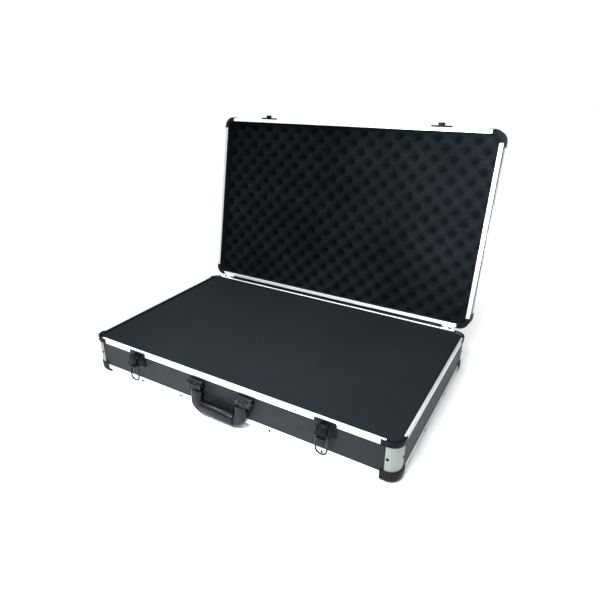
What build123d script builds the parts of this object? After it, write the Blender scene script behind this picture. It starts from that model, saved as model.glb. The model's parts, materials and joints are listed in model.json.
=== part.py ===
"""Flight case for a two-deck controller: a shallow boarded tray with a hinged lid.

Millimetres, +Z up, +X to the right and +Y to the rear. The origin is on the floor, under
the middle of the tray. The lid is drawn closed on the tray and then swung open.
"""

from build123d import *
from math import asin, atan2, ceil, cos, degrees, hypot, radians, sin, sqrt
import os

os.makedirs("parts", exist_ok=True)

# Case
case_width = 670.0
case_depth = 405.0
base_height = 81.0
lid_height = 42.0
corner_radius = 20.0
open_angle = 100.8
foot_stand = 4.2
seam_gap = 0.4

# Boards and aluminium extrusions
board = 3.0
extrusion_wall = 0.9
rim_band = 10.7
edge_band = 14.6
edge_radius = 4.5
groove_depth = 0.4
groove_width = 0.8
lid_rim_width = 7.4
lip_depth = 1.5
lip_clearance = 0.4
post_leg = 23.0
post_web = 1.5

# Corner caps
cap_wall = 1.5
cap_leg_front = 32.0
cap_leg_side = 27.0
cap_top_leg = 24.0
ball_leg = 30.0
ball_height = 23.0

# Linings and foams
base_lining = 1.5
lining_drop = 2.4
lining_gap = 0.2
base_foam_drop = 4.5
lid_foam_slab = 10.0
peak_drop = 10.0
peak_pitch_x = 41.5
peak_pitch_y = 42.6
peak_shift_x = 16.75
peak_shift_y = 8.0
peak_share = 0.92
peak_tip_share = 0.3

# Hinge, an interlocking pair of extrusions with a bead turning in a socket
hinge_offset = 6.3
hinge_drop = 3.0
bead_radius = 2.5
bead_clearance = 0.08
socket_wall = 1.2
hinge_web = 1.2
hinge_foot = 1.2
web_clearance = 0.3
hinge_end_length = 26.0
hinge_end_gap = 0.3
hinge_end_radius = 5.6
foot_inset = 0.6

# Handle
handle_spacing = 110.0
handle_width = 124.0
handle_bar = 24.0
handle_thick = 16.0
handle_drop = 53.5
handle_bend = 26.0
handle_round = 7.5
handle_tilt = 6.5
handle_pivot_drop = 21.5
handle_pivot_offset = 8.6
grip_length = 74.0
grip_height = 25.0
grip_thick = 21.0
grip_round = 9.5
handle_pin_radius = 2.0
tongue_width = 12.0
tongue_radius = 5.5
tongue_clearance = 0.9
mount_width = 32.0
mount_head = 7.5
mount_skirt = 6.0
mount_front = 6.0
mount_back = 2.0
mount_slope = 4.5
running_clearance = 0.06

# Draw latches
latch_inset = 125.0
plate_width = 41.0
plate_height = 31.0
plate_top_drop = 3.0
plate_thick = 1.2
plate_corner = 3.0
ear_gap = 11.8
ear_thick = 1.2
ear_round = 3.6
lever_pivot_drop = 11.0
lever_pivot_offset = 9.9
lever_pin_radius = 1.4
lever_width = 17.2
lever_wall = 1.2
lever_head = 4.4
lever_toe = 3.0
lever_lip = 5.5
ear_clearance = 0.4
web_gap = 0.6
bail_pivot_drop = 14.0
bail_pivot_set = -4.0
bail_wire = 1.5
bail_reach = 36.5
bail_corner = 2.0
bail_gap = 0.3
bail_end = 3.4
bail_swing = 190.0
sleeve_radius = 2.9
sleeve_length = 4.3

# Strikes on the lid
strike_width = 42.0
strike_start = 3.5
strike_height = 23.0
strike_thick = 1.2
hook_width = 10.0
hook_lip = 4.0
hook_clearance = 0.3

rim_z = base_height
base_under_z = foot_stand
lid_rim_z = rim_z + seam_gap
lid_top_z = lid_rim_z + lid_height
half_x = case_width / 2
half_y = case_depth / 2
front_y = -half_y
panel_y = front_y + extrusion_wall
board_face = extrusion_wall + board
hinge_y = half_y + hinge_offset
hinge_z = rim_z - hinge_drop
hinge_axis = Axis((0, hinge_y, hinge_z), (1, 0, 0))
hinge_reserve = cap_leg_side + hinge_end_length + 2 * hinge_end_gap
hinge_length = case_width - 2 * hinge_reserve
post_bottom = base_under_z + edge_radius
floor_top = base_under_z + extrusion_wall + board
lid_board_top = lid_top_z - edge_radius
lid_ceiling = lid_top_z - extrusion_wall - board
side_names = ("front", "rear", "left", "right")
corner_signs = {
    "front_left": (-1, -1),
    "front_right": (1, -1),
    "rear_left": (-1, 1),
    "rear_right": (1, 1),
}


def write(part, name):
    """Labels a finished piece and writes it to its own file."""
    part.label = name
    export_step(part, f"parts/{name}.step")


def swung_open(part):
    """A piece of the lid, drawn closed, at the open angle."""
    return part.rotate(hinge_axis, -open_angle)


def side_length(side, trim):
    """How long a side is between two ends that stop trim short of the corners."""
    full = case_width if side in ("front", "rear") else case_depth
    return full - 2 * trim


def side_plane(side, trim, height):
    """Plane across one side at its start: x inward from the outer face, y up, z along."""
    run = side_length(side, trim) / 2
    if side == "front":
        return Plane((-run, -half_y, height), x_dir=(0, 1, 0), z_dir=(1, 0, 0))
    if side == "rear":
        return Plane((run, half_y, height), x_dir=(0, -1, 0), z_dir=(-1, 0, 0))
    if side == "left":
        return Plane((-half_x, run, height), x_dir=(1, 0, 0), z_dir=(0, -1, 0))
    return Plane((half_x, -run, height), x_dir=(-1, 0, 0), z_dir=(0, 1, 0))


def at_corner(part, signs):
    """A piece drawn at the front right corner, mirrored to the corner with these signs."""
    if signs[0] < 0:
        part = part.mirror(Plane.YZ)
    if signs[1] > 0:
        part = part.mirror(Plane.XZ)
    return part


def outline(inset, mode=Mode.ADD):
    """The case seen from above, drawn in the active sketch, this far inside its faces."""
    width = case_width - 2 * inset
    depth = case_depth - 2 * inset
    RectangleRounded(width, depth, corner_radius - inset, mode=mode)


def keep_corner(leg_x, leg_y):
    """Trims the active sketch to what lies within these legs of the front right corner."""
    with Locations((half_x, front_y)):
        Rectangle(2 * leg_x, 2 * leg_y, mode=Mode.INTERSECT)


# Boards
with BuildPart() as base_floor_panel:
    with BuildSketch(Plane.XY.offset(base_under_z + extrusion_wall)):
        outline(edge_radius)
    extrude(amount=board)
write(base_floor_panel.part, "base_floor_panel")

with BuildPart() as lid_top_panel:
    with BuildSketch(Plane.XY.offset(lid_ceiling)):
        outline(edge_radius)
    extrude(amount=board)
write(swung_open(lid_top_panel.part), "lid_top_panel")


def side_board(side, low, high):
    """A wall board standing between two corner posts."""
    with BuildPart() as wall:
        with BuildSketch(side_plane(side, corner_radius, low)):
            with Locations((extrusion_wall, 0)):
                Rectangle(board, high - low, align=(Align.MIN, Align.MIN))
        extrude(amount=side_length(side, corner_radius))
    return wall.part


for side in side_names:
    write(side_board(side, post_bottom, rim_z - extrusion_wall), f"base_{side}_panel")
    lid_wall = side_board(side, lid_rim_z + extrusion_wall, lid_board_top)
    write(swung_open(lid_wall), f"lid_{side}_panel")


# Edge extrusions, a rounded angle with a solid corner that the boards butt against
def edge_extrusion(side, height, up):
    """One length of edge angle. up is 1 under the tray and -1 on top of the lid."""
    with BuildPart() as edge:
        with BuildSketch(side_plane(side, cap_top_leg, height)):
            with BuildLine():
                RadiusArc(
                    (0, up * edge_radius), (edge_radius, 0), up * edge_radius
                )
                Polyline(
                    (edge_radius, 0),
                    (edge_band, 0),
                    (edge_band, up * extrusion_wall),
                    (edge_radius, up * extrusion_wall),
                    (edge_radius, up * edge_radius),
                    (extrusion_wall, up * edge_radius),
                    (extrusion_wall, up * edge_band),
                    (0, up * edge_band),
                    (0, up * edge_radius),
                )
            make_face()
        extrude(amount=side_length(side, cap_top_leg))
    return edge.part


for side in side_names:
    write(edge_extrusion(side, base_under_z, 1), f"base_{side}_edge")
    write(swung_open(edge_extrusion(side, lid_top_z, -1)), f"lid_{side}_edge")


# Rim extrusions, a land with a seal groove on the tray and a locating lip on the lid
def base_rim(side):
    """One length of the tray's rim."""
    groove_start = (board_face - groove_width) / 2
    with BuildPart() as rim:
        with BuildSketch(side_plane(side, cap_top_leg, rim_z)):
            with BuildLine():
                Polyline(
                    (0, 0),
                    (groove_start, 0),
                    (groove_start, -groove_depth),
                    (groove_start + groove_width, -groove_depth),
                    (groove_start + groove_width, 0),
                    (board_face, 0),
                    (board_face, -extrusion_wall),
                    (extrusion_wall, -extrusion_wall),
                    (extrusion_wall, -rim_band),
                    (0, -rim_band),
                    close=True,
                )
            make_face()
        extrude(amount=side_length(side, cap_top_leg))
    return rim.part


def lid_rim(side):
    """One length of the lid's rim, whose lip drops inside the tray's rim."""
    lip_start = board_face + lip_clearance
    with BuildPart() as rim:
        with BuildSketch(side_plane(side, cap_top_leg, lid_rim_z)):
            with BuildLine():
                Polyline(
                    (0, 0),
                    (lip_start, 0),
                    (lip_start, -lip_depth),
                    (lid_rim_width, -lip_depth),
                    (lid_rim_width, extrusion_wall),
                    (extrusion_wall, extrusion_wall),
                    (extrusion_wall, rim_band),
                    (0, rim_band),
                    close=True,
                )
            make_face()
        extrude(amount=side_length(side, cap_top_leg))
    return rim.part


for side in side_names:
    write(base_rim(side), f"base_{side}_rim")
    write(swung_open(lid_rim(side)), f"lid_{side}_rim")


# Corner posts, a rounded angle with a web behind each leg that the boards end against
def corner_post(low, high):
    """The post at the front right corner."""
    with BuildPart() as post:
        with BuildSketch(Plane.XY.offset(low)):
            outline(0)
            outline(extrusion_wall, mode=Mode.SUBTRACT)
            keep_corner(post_leg, post_leg)
            web_depth = board + extrusion_wall / 2
            with Locations((half_x - corner_radius, front_y + board_face)):
                Rectangle(post_web, web_depth, align=(Align.MIN, Align.MAX))
            with Locations((half_x - board_face, front_y + corner_radius)):
                Rectangle(web_depth, post_web, align=(Align.MIN, Align.MAX))
        extrude(amount=high - low)
    return post.part


base_post = corner_post(post_bottom, rim_z - extrusion_wall)
for name, signs in corner_signs.items():
    write(at_corner(base_post, signs), f"base_{name}_post")
lid_post = corner_post(lid_rim_z + extrusion_wall, lid_board_top)
lid_posts = [swung_open(at_corner(lid_post, signs)) for signs in corner_signs.values()]
write(Compound(children=lid_posts), "lid_corner_posts")


# Rim corner caps, a skirt outside both rims and a web that is flush with their lands
def rim_cap(height, down, land, legs):
    """The cap at the front right corner. down is 1 on the tray and -1 on the lid."""
    with BuildPart() as cap:
        with BuildSketch(Plane.XY.offset(height)):
            outline(-cap_wall)
            outline(0, mode=Mode.SUBTRACT)
            keep_corner(*legs)
        extrude(amount=-down * rim_band)
        with BuildSketch(Plane.XY.offset(height)):
            outline(-cap_wall)
            outline(land, mode=Mode.SUBTRACT)
            keep_corner(cap_top_leg, cap_top_leg)
        extrude(amount=-down * extrusion_wall)
    return cap.part


def rim_caps(height, down, land):
    """Four rim caps, with the short leg along the hinge at the rear corners."""
    front = rim_cap(height, down, land, (cap_leg_front, cap_leg_side))
    rear = rim_cap(height, down, land, (cap_leg_side, cap_leg_front))
    return [at_corner(front if y < 0 else rear, (x, y)) for x, y in corner_signs.values()]


write(Compound(children=rim_caps(rim_z, 1, board_face)), "base_rim_corner_caps")
lid_caps = [swung_open(cap) for cap in rim_caps(lid_rim_z, -1, lid_rim_width)]
write(Compound(children=lid_caps), "lid_rim_corner_caps")

# Ball corner caps, which wrap a bottom corner and are what the case stands on
with BuildPart() as case_block:
    with BuildSketch(Plane.XY.offset(base_under_z)):
        outline(0)
    extrude(amount=base_height)
    fillet(case_block.faces().sort_by(Axis.Z)[0].edges(), edge_radius)

with BuildPart() as ball_cap:
    with BuildSketch(Plane.XY):
        outline(-cap_wall)
    extrude(amount=ball_height)
    fillet(ball_cap.faces().sort_by(Axis.Z)[0].edges(), edge_radius + foot_stand)
    add(case_block.part, mode=Mode.SUBTRACT)
    with BuildSketch(Plane.XY):
        with Locations((half_x, front_y)):
            Rectangle(2 * ball_leg, 2 * ball_leg)
    extrude(amount=ball_height, mode=Mode.INTERSECT)

for name, signs in corner_signs.items():
    write(at_corner(ball_cap.part, signs), f"base_{name}_ball_cap")
lid_stand_z = lid_top_z + foot_stand
top_cap = ball_cap.part.mirror(Plane.XY).translate((0, 0, lid_stand_z))
top_caps = [swung_open(at_corner(top_cap, signs)) for signs in corner_signs.values()]
write(Compound(children=top_caps), "lid_ball_caps")

# Linings and foams
with BuildPart() as base_wall_lining:
    with BuildSketch(Plane.XY.offset(post_bottom)):
        outline(board_face)
        outline(board_face + base_lining, mode=Mode.SUBTRACT)
    extrude(amount=rim_z - lining_drop - post_bottom)
write(base_wall_lining.part, "base_wall_lining")

with BuildPart() as base_foam:
    with BuildSketch(Plane.XY.offset(floor_top)):
        outline(board_face + base_lining + lining_gap)
    extrude(amount=rim_z - base_foam_drop - floor_top)
write(base_foam.part, "base_foam")

with BuildPart() as lid_wall_lining:
    with BuildSketch(Plane.XY.offset(lid_rim_z + extrusion_wall)):
        outline(board_face)
        outline(lid_rim_width, mode=Mode.SUBTRACT)
    extrude(amount=lid_board_top - lid_rim_z - extrusion_wall)
write(swung_open(lid_wall_lining.part), "lid_wall_lining")

# The lid's foam, cut from a sheet with a lattice of peaks, every other row offset by half
slab_inset = lid_rim_width + lining_gap
slab_z = lid_ceiling - lid_foam_slab
peak_height = slab_z - lid_rim_z - peak_drop
columns = ceil(case_width / peak_pitch_x)
rows = ceil(case_depth / peak_pitch_y)

# A peak is where two ridges cross, each square to a pair of its four flanks
flank_angle = atan2(peak_pitch_y, peak_pitch_x)
flank_reach = peak_pitch_x * sin(flank_angle) / 2
ridge = [(-peak_share * flank_reach, 0), (-peak_tip_share * flank_reach, -peak_height)]
ridge += [(-x, z) for x, z in reversed(ridge)]
run_x = cos(flank_angle)
run_y = sin(flank_angle)
with BuildPart() as peak:
    for turn, mode in ((1, Mode.ADD), (-1, Mode.INTERSECT)):
        run = (run_x, turn * run_y, 0)
        with BuildSketch(Plane((0, 0, slab_z), x_dir=(-turn * run_y, run_x, 0), z_dir=run)):
            Polygon(*ridge, align=None)
        extrude(amount=peak_pitch_x, both=True, mode=mode)

with BuildPart() as lid_foam:
    with BuildSketch(Plane.XY.offset(slab_z)):
        outline(slab_inset)
    extrude(amount=lid_foam_slab)
    with Locations((peak_shift_x, peak_shift_y)):
        with GridLocations(peak_pitch_x, peak_pitch_y, columns + 1, rows + 1):
            add(peak.part)
        with GridLocations(peak_pitch_x, peak_pitch_y, columns, rows):
            add(peak.part)
    with BuildSketch(Plane.XY.offset(slab_z - peak_height)):
        outline(slab_inset)
    extrude(amount=peak_height + lid_foam_slab, mode=Mode.INTERSECT)
write(swung_open(lid_foam.part), "lid_foam")

# Hinge extrusions, drawn across their length with the origin on the hinge axis
hinge_plane = Plane((-hinge_length / 2, hinge_y, hinge_z), x_dir=(0, 1, 0), z_dir=(1, 0, 0))
socket_radius = bead_radius + bead_clearance
socket_outer = socket_radius + socket_wall
sweep_margin = degrees(asin((hinge_web / 2 + web_clearance) / socket_radius))
mouth_start = 90 - open_angle - sweep_margin
mouth_end = 90 + sweep_margin
lid_web_start = socket_outer + 2 * web_clearance
seam_low = hinge_drop
seam_high = hinge_drop + seam_gap


def foot_section(low, high):
    """The flat foot of a hinge extrusion, against the outer face of a rim."""
    with Locations((-hinge_offset, low)):
        Rectangle(hinge_foot, high - low, align=(Align.MIN, Align.MIN))


with BuildPart() as base_hinge_rail:
    with BuildSketch(hinge_plane):
        Circle(socket_outer)
        with Locations((-hinge_offset, 0)):
            Rectangle(hinge_offset, hinge_web, align=(Align.MIN, Align.CENTER))
        foot_section(seam_low - rim_band + foot_inset, seam_low - foot_inset)
        Circle(socket_radius, mode=Mode.SUBTRACT)
        mouth_steps = 4
        mouth_turn = (mouth_end - mouth_start) / mouth_steps
        mouth_angles = [mouth_start + mouth_turn * k for k in range(mouth_steps + 1)]
        reach = 2 * socket_outer
        rays = [(reach * cos(radians(a)), reach * sin(radians(a))) for a in mouth_angles]
        Polygon((0, 0), *rays, align=None, mode=Mode.SUBTRACT)
    extrude(amount=hinge_length)
write(base_hinge_rail.part, "base_hinge_rail")

with BuildPart() as lid_hinge_rail:
    with BuildSketch(hinge_plane):
        Circle(bead_radius)
        Rectangle(hinge_web, lid_web_start + hinge_web, align=(Align.CENTER, Align.MIN))
        with Locations((hinge_web / 2, lid_web_start)):
            web_run = hinge_offset + hinge_web / 2
            Rectangle(web_run, hinge_web, align=(Align.MAX, Align.MIN))
        foot_section(seam_high + foot_inset, seam_high + rim_band - foot_inset)
    extrude(amount=hinge_length)
write(swung_open(lid_hinge_rail.part), "lid_hinge_rail")

for name, sign in (("left", -1), ("right", 1)):
    inner_end = hinge_length / 2 + hinge_end_gap
    start = inner_end if sign > 0 else -inner_end - hinge_end_length
    end_plane = Plane((start, hinge_y, hinge_z), x_dir=(0, 1, 0), z_dir=(1, 0, 0))
    with BuildPart() as hinge_end:
        with BuildSketch(end_plane):
            Circle(hinge_end_radius)
            with Locations((-hinge_offset, -hinge_end_radius)):
                end_height = hinge_end_radius + seam_low - foot_inset
                Rectangle(hinge_offset, end_height, align=(Align.MIN, Align.MIN))
        extrude(amount=hinge_end_length)
    write(hinge_end.part, f"hinge_end_{name}")

# Handle, hung on two clevis mounts
handle_y = panel_y - handle_pivot_offset
handle_z = rim_z - handle_pivot_drop
handle_axis = Axis((0, handle_y, handle_z), (1, 0, 0))
shoulder = hypot(mount_front, mount_skirt) + tongue_clearance
mount_top = handle_z + mount_head
mount_bottom = handle_z - mount_skirt
handle_face = Plane((0, handle_y, handle_z), x_dir=(1, 0, 0), z_dir=(0, -1, 0))
mount_places = (("left", -handle_spacing / 2), ("right", handle_spacing / 2))


def pivot_plane(x, y, z):
    """Plane square to X at a point: its x runs to the rear and its y upwards."""
    return Plane((x, y, z), x_dir=(0, 1, 0), z_dir=(1, 0, 0))


with BuildPart() as handle:
    arm_x = (handle_width - handle_bar) / 2
    grip_z = handle_bar / 2 - handle_drop
    with BuildLine(handle_face):
        FilletPolyline(
            (-arm_x, -shoulder),
            (-arm_x, grip_z),
            (arm_x, grip_z),
            (arm_x, -shoulder),
            radius=handle_bend - handle_bar / 2,
        )
    with BuildSketch(Plane.XY.offset(handle_z - shoulder)):
        with Locations((-arm_x, handle_y)):
            RectangleRounded(handle_bar, handle_thick, handle_round)
    sweep()
    with BuildSketch(pivot_plane(-grip_length / 2, handle_y, handle_z + grip_z)):
        RectangleRounded(grip_thick, grip_height, grip_round)
    extrude(amount=grip_length)
    for name, x in mount_places:
        start = x - tongue_width / 2
        with BuildSketch(pivot_plane(start, handle_y, handle_z)):
            Circle(tongue_radius)
            tongue_drop = shoulder + tongue_width / 2
            Rectangle(2 * tongue_radius, tongue_drop, align=(Align.CENTER, Align.MAX))
        extrude(amount=tongue_width)
        with BuildSketch(pivot_plane(start, handle_y, handle_z)):
            Circle(handle_pin_radius + running_clearance)
        extrude(amount=tongue_width, mode=Mode.SUBTRACT)
write(handle.part.rotate(handle_axis, -handle_tilt), "handle")

for name, x in mount_places:
    start = x - mount_width / 2
    slot_width = tongue_width + 2 * tongue_clearance
    front = handle_y - mount_front
    with BuildPart() as mount:
        with BuildSketch(pivot_plane(start, 0, 0)):
            Polygon(
                (panel_y, mount_bottom),
                (panel_y, mount_top),
                (front + mount_slope, mount_top),
                (front, mount_top - mount_slope),
                (front, mount_bottom),
                align=None,
            )
        extrude(amount=mount_width)
        with BuildSketch(pivot_plane(x - slot_width / 2, 0, 0)):
            slot_top = handle_z + tongue_radius + tongue_clearance
            with Locations((panel_y - mount_back, slot_top)):
                Rectangle(case_depth, slot_top, align=(Align.MAX, Align.MAX))
        extrude(amount=slot_width, mode=Mode.SUBTRACT)
        with BuildSketch(pivot_plane(start, handle_y, handle_z)):
            Circle(handle_pin_radius)
        extrude(amount=mount_width, mode=Mode.SUBTRACT)
    write(mount.part, f"handle_mount_{name}")

with BuildPart() as handle_pins:
    for name, x in mount_places:
        start = x - mount_width / 2
        with BuildSketch(pivot_plane(start, handle_y, handle_z)):
            Circle(handle_pin_radius)
        extrude(amount=mount_width)
write(handle_pins.part, "handle_pins")

# Draw latches, each a plate with ears, a lever on a pin and a wire bail on the lever
joggle_z = rim_z - rim_band - seam_gap
plate_top = rim_z - plate_top_drop
plate_bottom = plate_top - plate_height
lever_z = rim_z - lever_pivot_drop
lever_y = panel_y - lever_pivot_offset
bail_y = lever_y + bail_pivot_set
bail_z = lever_z - bail_pivot_drop
lever_inner = lever_width / 2 - lever_wall
bail_leg = lever_width / 2 + bail_gap + bail_wire
toe_place = (bail_pivot_set, -bail_pivot_drop)
ear_slot = lever_inner - ear_gap / 2 + ear_clearance
latch_x = half_x - latch_inset
latch_places = (("left", -latch_x), ("right", latch_x))


def joggled_plate(x, width, foot, step, top, up):
    """A plate on the panel that steps out over a rim band. up is 1 if the band is above."""
    with BuildPart() as body:
        with BuildSketch(pivot_plane(x - width / 2, 0, 0)):
            Polygon(
                (panel_y, foot),
                (panel_y, step),
                (front_y, step),
                (front_y, top),
                (front_y - plate_thick, top),
                (front_y - plate_thick, step - up * plate_thick),
                (panel_y - plate_thick, step - up * plate_thick),
                (panel_y - plate_thick, foot),
                align=None,
            )
        extrude(amount=width)
        upright = body.edges().filter_by(Axis.Y).group_by(Axis.Z)
        fillet(upright[0] + upright[-1], plate_corner)
    return body.part


for name, x in latch_places:
    plate_body = joggled_plate(x, plate_width, plate_bottom, joggle_z, plate_top, 1)
    with BuildPart() as plate:
        add(plate_body)
        for side in (-1, 1):
            ear_x = x + side * (ear_gap + ear_thick) / 2 - ear_thick / 2
            with BuildSketch(pivot_plane(ear_x, lever_y, lever_z)):
                Circle(ear_round)
                neck = front_y - lever_y
                Rectangle(neck, 2 * ear_round, align=(Align.MIN, Align.CENTER))
            extrude(amount=ear_thick)
            with BuildSketch(pivot_plane(ear_x, lever_y, lever_z)):
                Circle(lever_pin_radius)
            extrude(amount=ear_thick, mode=Mode.SUBTRACT)
    write(plate.part, f"latch_plate_{name}")

    with BuildPart() as lever:
        start = x - lever_width / 2
        with BuildSketch(pivot_plane(start, lever_y, lever_z)):
            Circle(lever_head)
            with Locations(toe_place):
                Circle(lever_toe)
            make_hull()
            with Locations((bail_pivot_set, -bail_pivot_drop - lever_toe)):
                Rectangle(lever_lip, lever_wall, align=(Align.MAX, Align.MIN))
        extrude(amount=lever_width)
        with BuildSketch(pivot_plane(x - lever_inner, lever_y, lever_z)):
            with Locations((0, 0), (lever_width, 0)):
                Circle(lever_head - lever_wall)
            with Locations(toe_place, (lever_width, -bail_pivot_drop)):
                Circle(lever_toe - lever_wall)
            make_hull()
        extrude(amount=2 * lever_inner, mode=Mode.SUBTRACT)
        for slot_x in (x - lever_inner, x + lever_inner - ear_slot):
            with BuildSketch(pivot_plane(slot_x, lever_y, lever_z)):
                with Locations((0, -ear_round - web_gap)):
                    Rectangle(4 * lever_head, 4 * lever_head, align=(Align.CENTER, Align.MIN))
            extrude(amount=ear_slot, mode=Mode.SUBTRACT)
        with BuildSketch(pivot_plane(start, lever_y, lever_z)):
            Circle(lever_pin_radius + running_clearance)
            with Locations(toe_place):
                Circle(bail_wire + running_clearance)
        extrude(amount=lever_width, mode=Mode.SUBTRACT)
    write(lever.part, f"latch_lever_{name}")

    with BuildPart() as bail:
        with BuildLine(Plane((x, bail_y, bail_z), x_dir=(1, 0, 0), z_dir=(0, -1, 0))):
            FilletPolyline(
                (-bail_leg + bail_end, 0),
                (-bail_leg, 0),
                (-bail_leg, bail_leg - bail_reach),
                radius=bail_corner,
            )
            ThreePointArc(
                (-bail_leg, bail_leg - bail_reach),
                (0, -bail_reach),
                (bail_leg, bail_leg - bail_reach),
            )
            FilletPolyline(
                (bail_leg, bail_leg - bail_reach),
                (bail_leg, 0),
                (bail_leg - bail_end, 0),
                radius=bail_corner,
            )
        with BuildSketch(pivot_plane(x - bail_leg + bail_end, bail_y, bail_z)):
            Circle(bail_wire)
        sweep()
        for side in (-1, 1):
            sleeve_start = x + side * (lever_width / 2 + bail_gap)
            with BuildSketch(pivot_plane(sleeve_start, bail_y, bail_z)):
                Circle(sleeve_radius)
            extrude(amount=side * sleeve_length)
    write(bail.part, f"latch_bail_{name}")

with BuildPart() as lever_pins:
    for name, x in latch_places:
        start = x - lever_width / 2
        with BuildSketch(pivot_plane(start, lever_y, lever_z)):
            Circle(lever_pin_radius)
        extrude(amount=lever_width)
write(lever_pins.part, "latch_pins")

# Strikes on the lid, whose hooks hold the bails when these are swung up
bar_y = bail_y - bail_reach * sin(radians(bail_swing))
bar_z = bail_z - bail_reach * cos(radians(bail_swing))
bar_sag = bail_leg - sqrt(bail_leg**2 - (hook_width / 2) ** 2)
ledge_z = bar_z - bar_sag - bail_wire - hook_clearance
lip_y = bar_y - bail_wire - hook_clearance
strike_low = lid_rim_z + strike_start
strike_step = lid_rim_z + rim_band + seam_gap
strike_high = strike_low + strike_height
hook_root = (panel_y if ledge_z - strike_thick > strike_step else front_y) - plate_thick / 2
for name, x in latch_places:
    flange = joggled_plate(x, strike_width, strike_high, strike_step, strike_low, -1)
    with BuildPart() as strike:
        add(flange)
        with BuildSketch(pivot_plane(x - hook_width / 2, 0, 0)):
            Polygon(
                (hook_root, ledge_z),
                (lip_y, ledge_z),
                (lip_y, ledge_z + hook_lip),
                (lip_y - strike_thick, ledge_z + hook_lip),
                (lip_y - strike_thick, ledge_z - strike_thick),
                (hook_root, ledge_z - strike_thick),
                align=None,
            )
        extrude(amount=hook_width)
    write(swung_open(strike.part), f"lid_strike_{name}")
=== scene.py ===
import json
import logging
import math
from dataclasses import dataclass, field
from enum import Enum

import bmesh
import bpy
from mathutils import Matrix, Vector


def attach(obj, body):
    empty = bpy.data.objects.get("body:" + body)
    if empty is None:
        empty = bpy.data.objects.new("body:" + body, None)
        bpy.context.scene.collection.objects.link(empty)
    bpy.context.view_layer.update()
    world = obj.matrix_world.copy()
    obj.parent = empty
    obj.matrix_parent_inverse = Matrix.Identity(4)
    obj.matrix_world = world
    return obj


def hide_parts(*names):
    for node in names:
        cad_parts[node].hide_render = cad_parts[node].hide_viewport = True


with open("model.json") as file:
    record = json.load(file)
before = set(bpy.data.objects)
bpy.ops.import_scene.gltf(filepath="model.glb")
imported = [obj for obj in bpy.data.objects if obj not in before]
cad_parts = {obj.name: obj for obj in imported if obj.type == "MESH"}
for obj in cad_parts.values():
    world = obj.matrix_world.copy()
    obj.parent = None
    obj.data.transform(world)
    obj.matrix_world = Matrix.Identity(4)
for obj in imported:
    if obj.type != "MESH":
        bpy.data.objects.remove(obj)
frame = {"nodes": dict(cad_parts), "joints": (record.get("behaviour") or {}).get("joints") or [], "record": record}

MM = 0.001
MERGE_GAP = 2e-6
FLAT_ANGLE = 0.5
SHARP_ANGLE = 32.0
NOISE_SPAN = (0.3, 0.7)
NOISE_CORE = (0.35, 0.65)
UNIT = (0.0, 1.0)
SIDES = ("left", "right")
SIGNS = (-1, 1)

Span = tuple[float, float]
Triple = tuple[float, float, float]
Socket = bpy.types.NodeSocket

log = logging.getLogger("flight_case")


class Grain(Enum):
    """The direction that an extrusion was drawn in, before its lid is swung open."""

    ACROSS = (6.0, 900.0, 900.0)
    DEEP = (900.0, 6.0, 900.0)
    UPRIGHT = (900.0, 900.0, 6.0)


class Corner(Enum):
    """The signs of x and y at each corner of the case."""

    FRONT_LEFT = (-1, -1)
    FRONT_RIGHT = (1, -1)
    REAR_LEFT = (-1, 1)
    REAR_RIGHT = (1, 1)


class Side(Enum):
    """The four walls of the tray and of the lid."""

    FRONT = "front"
    REAR = "rear"
    LEFT = "left"
    RIGHT = "right"

    @property
    def grain(self) -> Grain:
        """The direction that this wall's extrusions run in."""
        return Grain.ACROSS if self in (Side.FRONT, Side.REAR) else Grain.DEEP


@dataclass(frozen=True)
class LidPose:
    """Where the lid's hinge lies and how far the lid stands open at rest."""

    axis_y: float
    axis_z: float
    open_angle: float

    @classmethod
    def from_frame(cls) -> "LidPose":
        """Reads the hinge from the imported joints."""
        joint = next(j for j in frame["joints"] if j["name"] == "lid_hinge")
        _, axis_y, axis_z = joint["pos_m"]
        return cls(axis_y, axis_z, joint["range_deg"][1])

    def opened(self) -> Matrix:
        """The move from the closed lid to the open lid."""
        centre = Matrix.Translation((0, self.axis_y, self.axis_z))
        turn = Matrix.Rotation(math.radians(-self.open_angle), 4, "X")
        return centre @ turn @ centre.inverted()


LID = LidPose.from_frame()
NODE_BODY = {n: b for b, nodes in frame["record"]["behaviour"]["bodies"].items() for n in nodes}


class Tree:
    """A node tree under construction."""

    def __init__(self, tree: bpy.types.NodeTree) -> None:
        """Starts on a tree.

        Args:
            tree: The tree that the nodes go into.
        """
        self.tree = tree

    def node(self, kind: str, **settings: object) -> bpy.types.Node:
        """Adds a node and sets the named properties on it."""
        made = self.tree.nodes.new(kind)
        for key, value in settings.items():
            setattr(made, key, value)
        return made

    def link(self, source: Socket, target: Socket) -> None:
        """Joins two sockets."""
        self.tree.links.new(source, target)

    def feed(self, made: bpy.types.Node, values: tuple[object, ...]) -> Socket:
        """Gives a node's first inputs sockets or plain numbers.

        Args:
            made: The node.
            values: One socket or number for each input, in order.

        Returns:
            The node's first output.
        """
        for socket, value in zip(made.inputs, values):
            if isinstance(value, Socket):
                self.link(value, socket)
            else:
                socket.default_value = value
        return made.outputs[0]

    def math(self, operation: str, *values: object) -> Socket:
        """One arithmetic step on sockets or plain numbers."""
        return self.feed(self.node("ShaderNodeMath", operation=operation), values)


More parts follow.
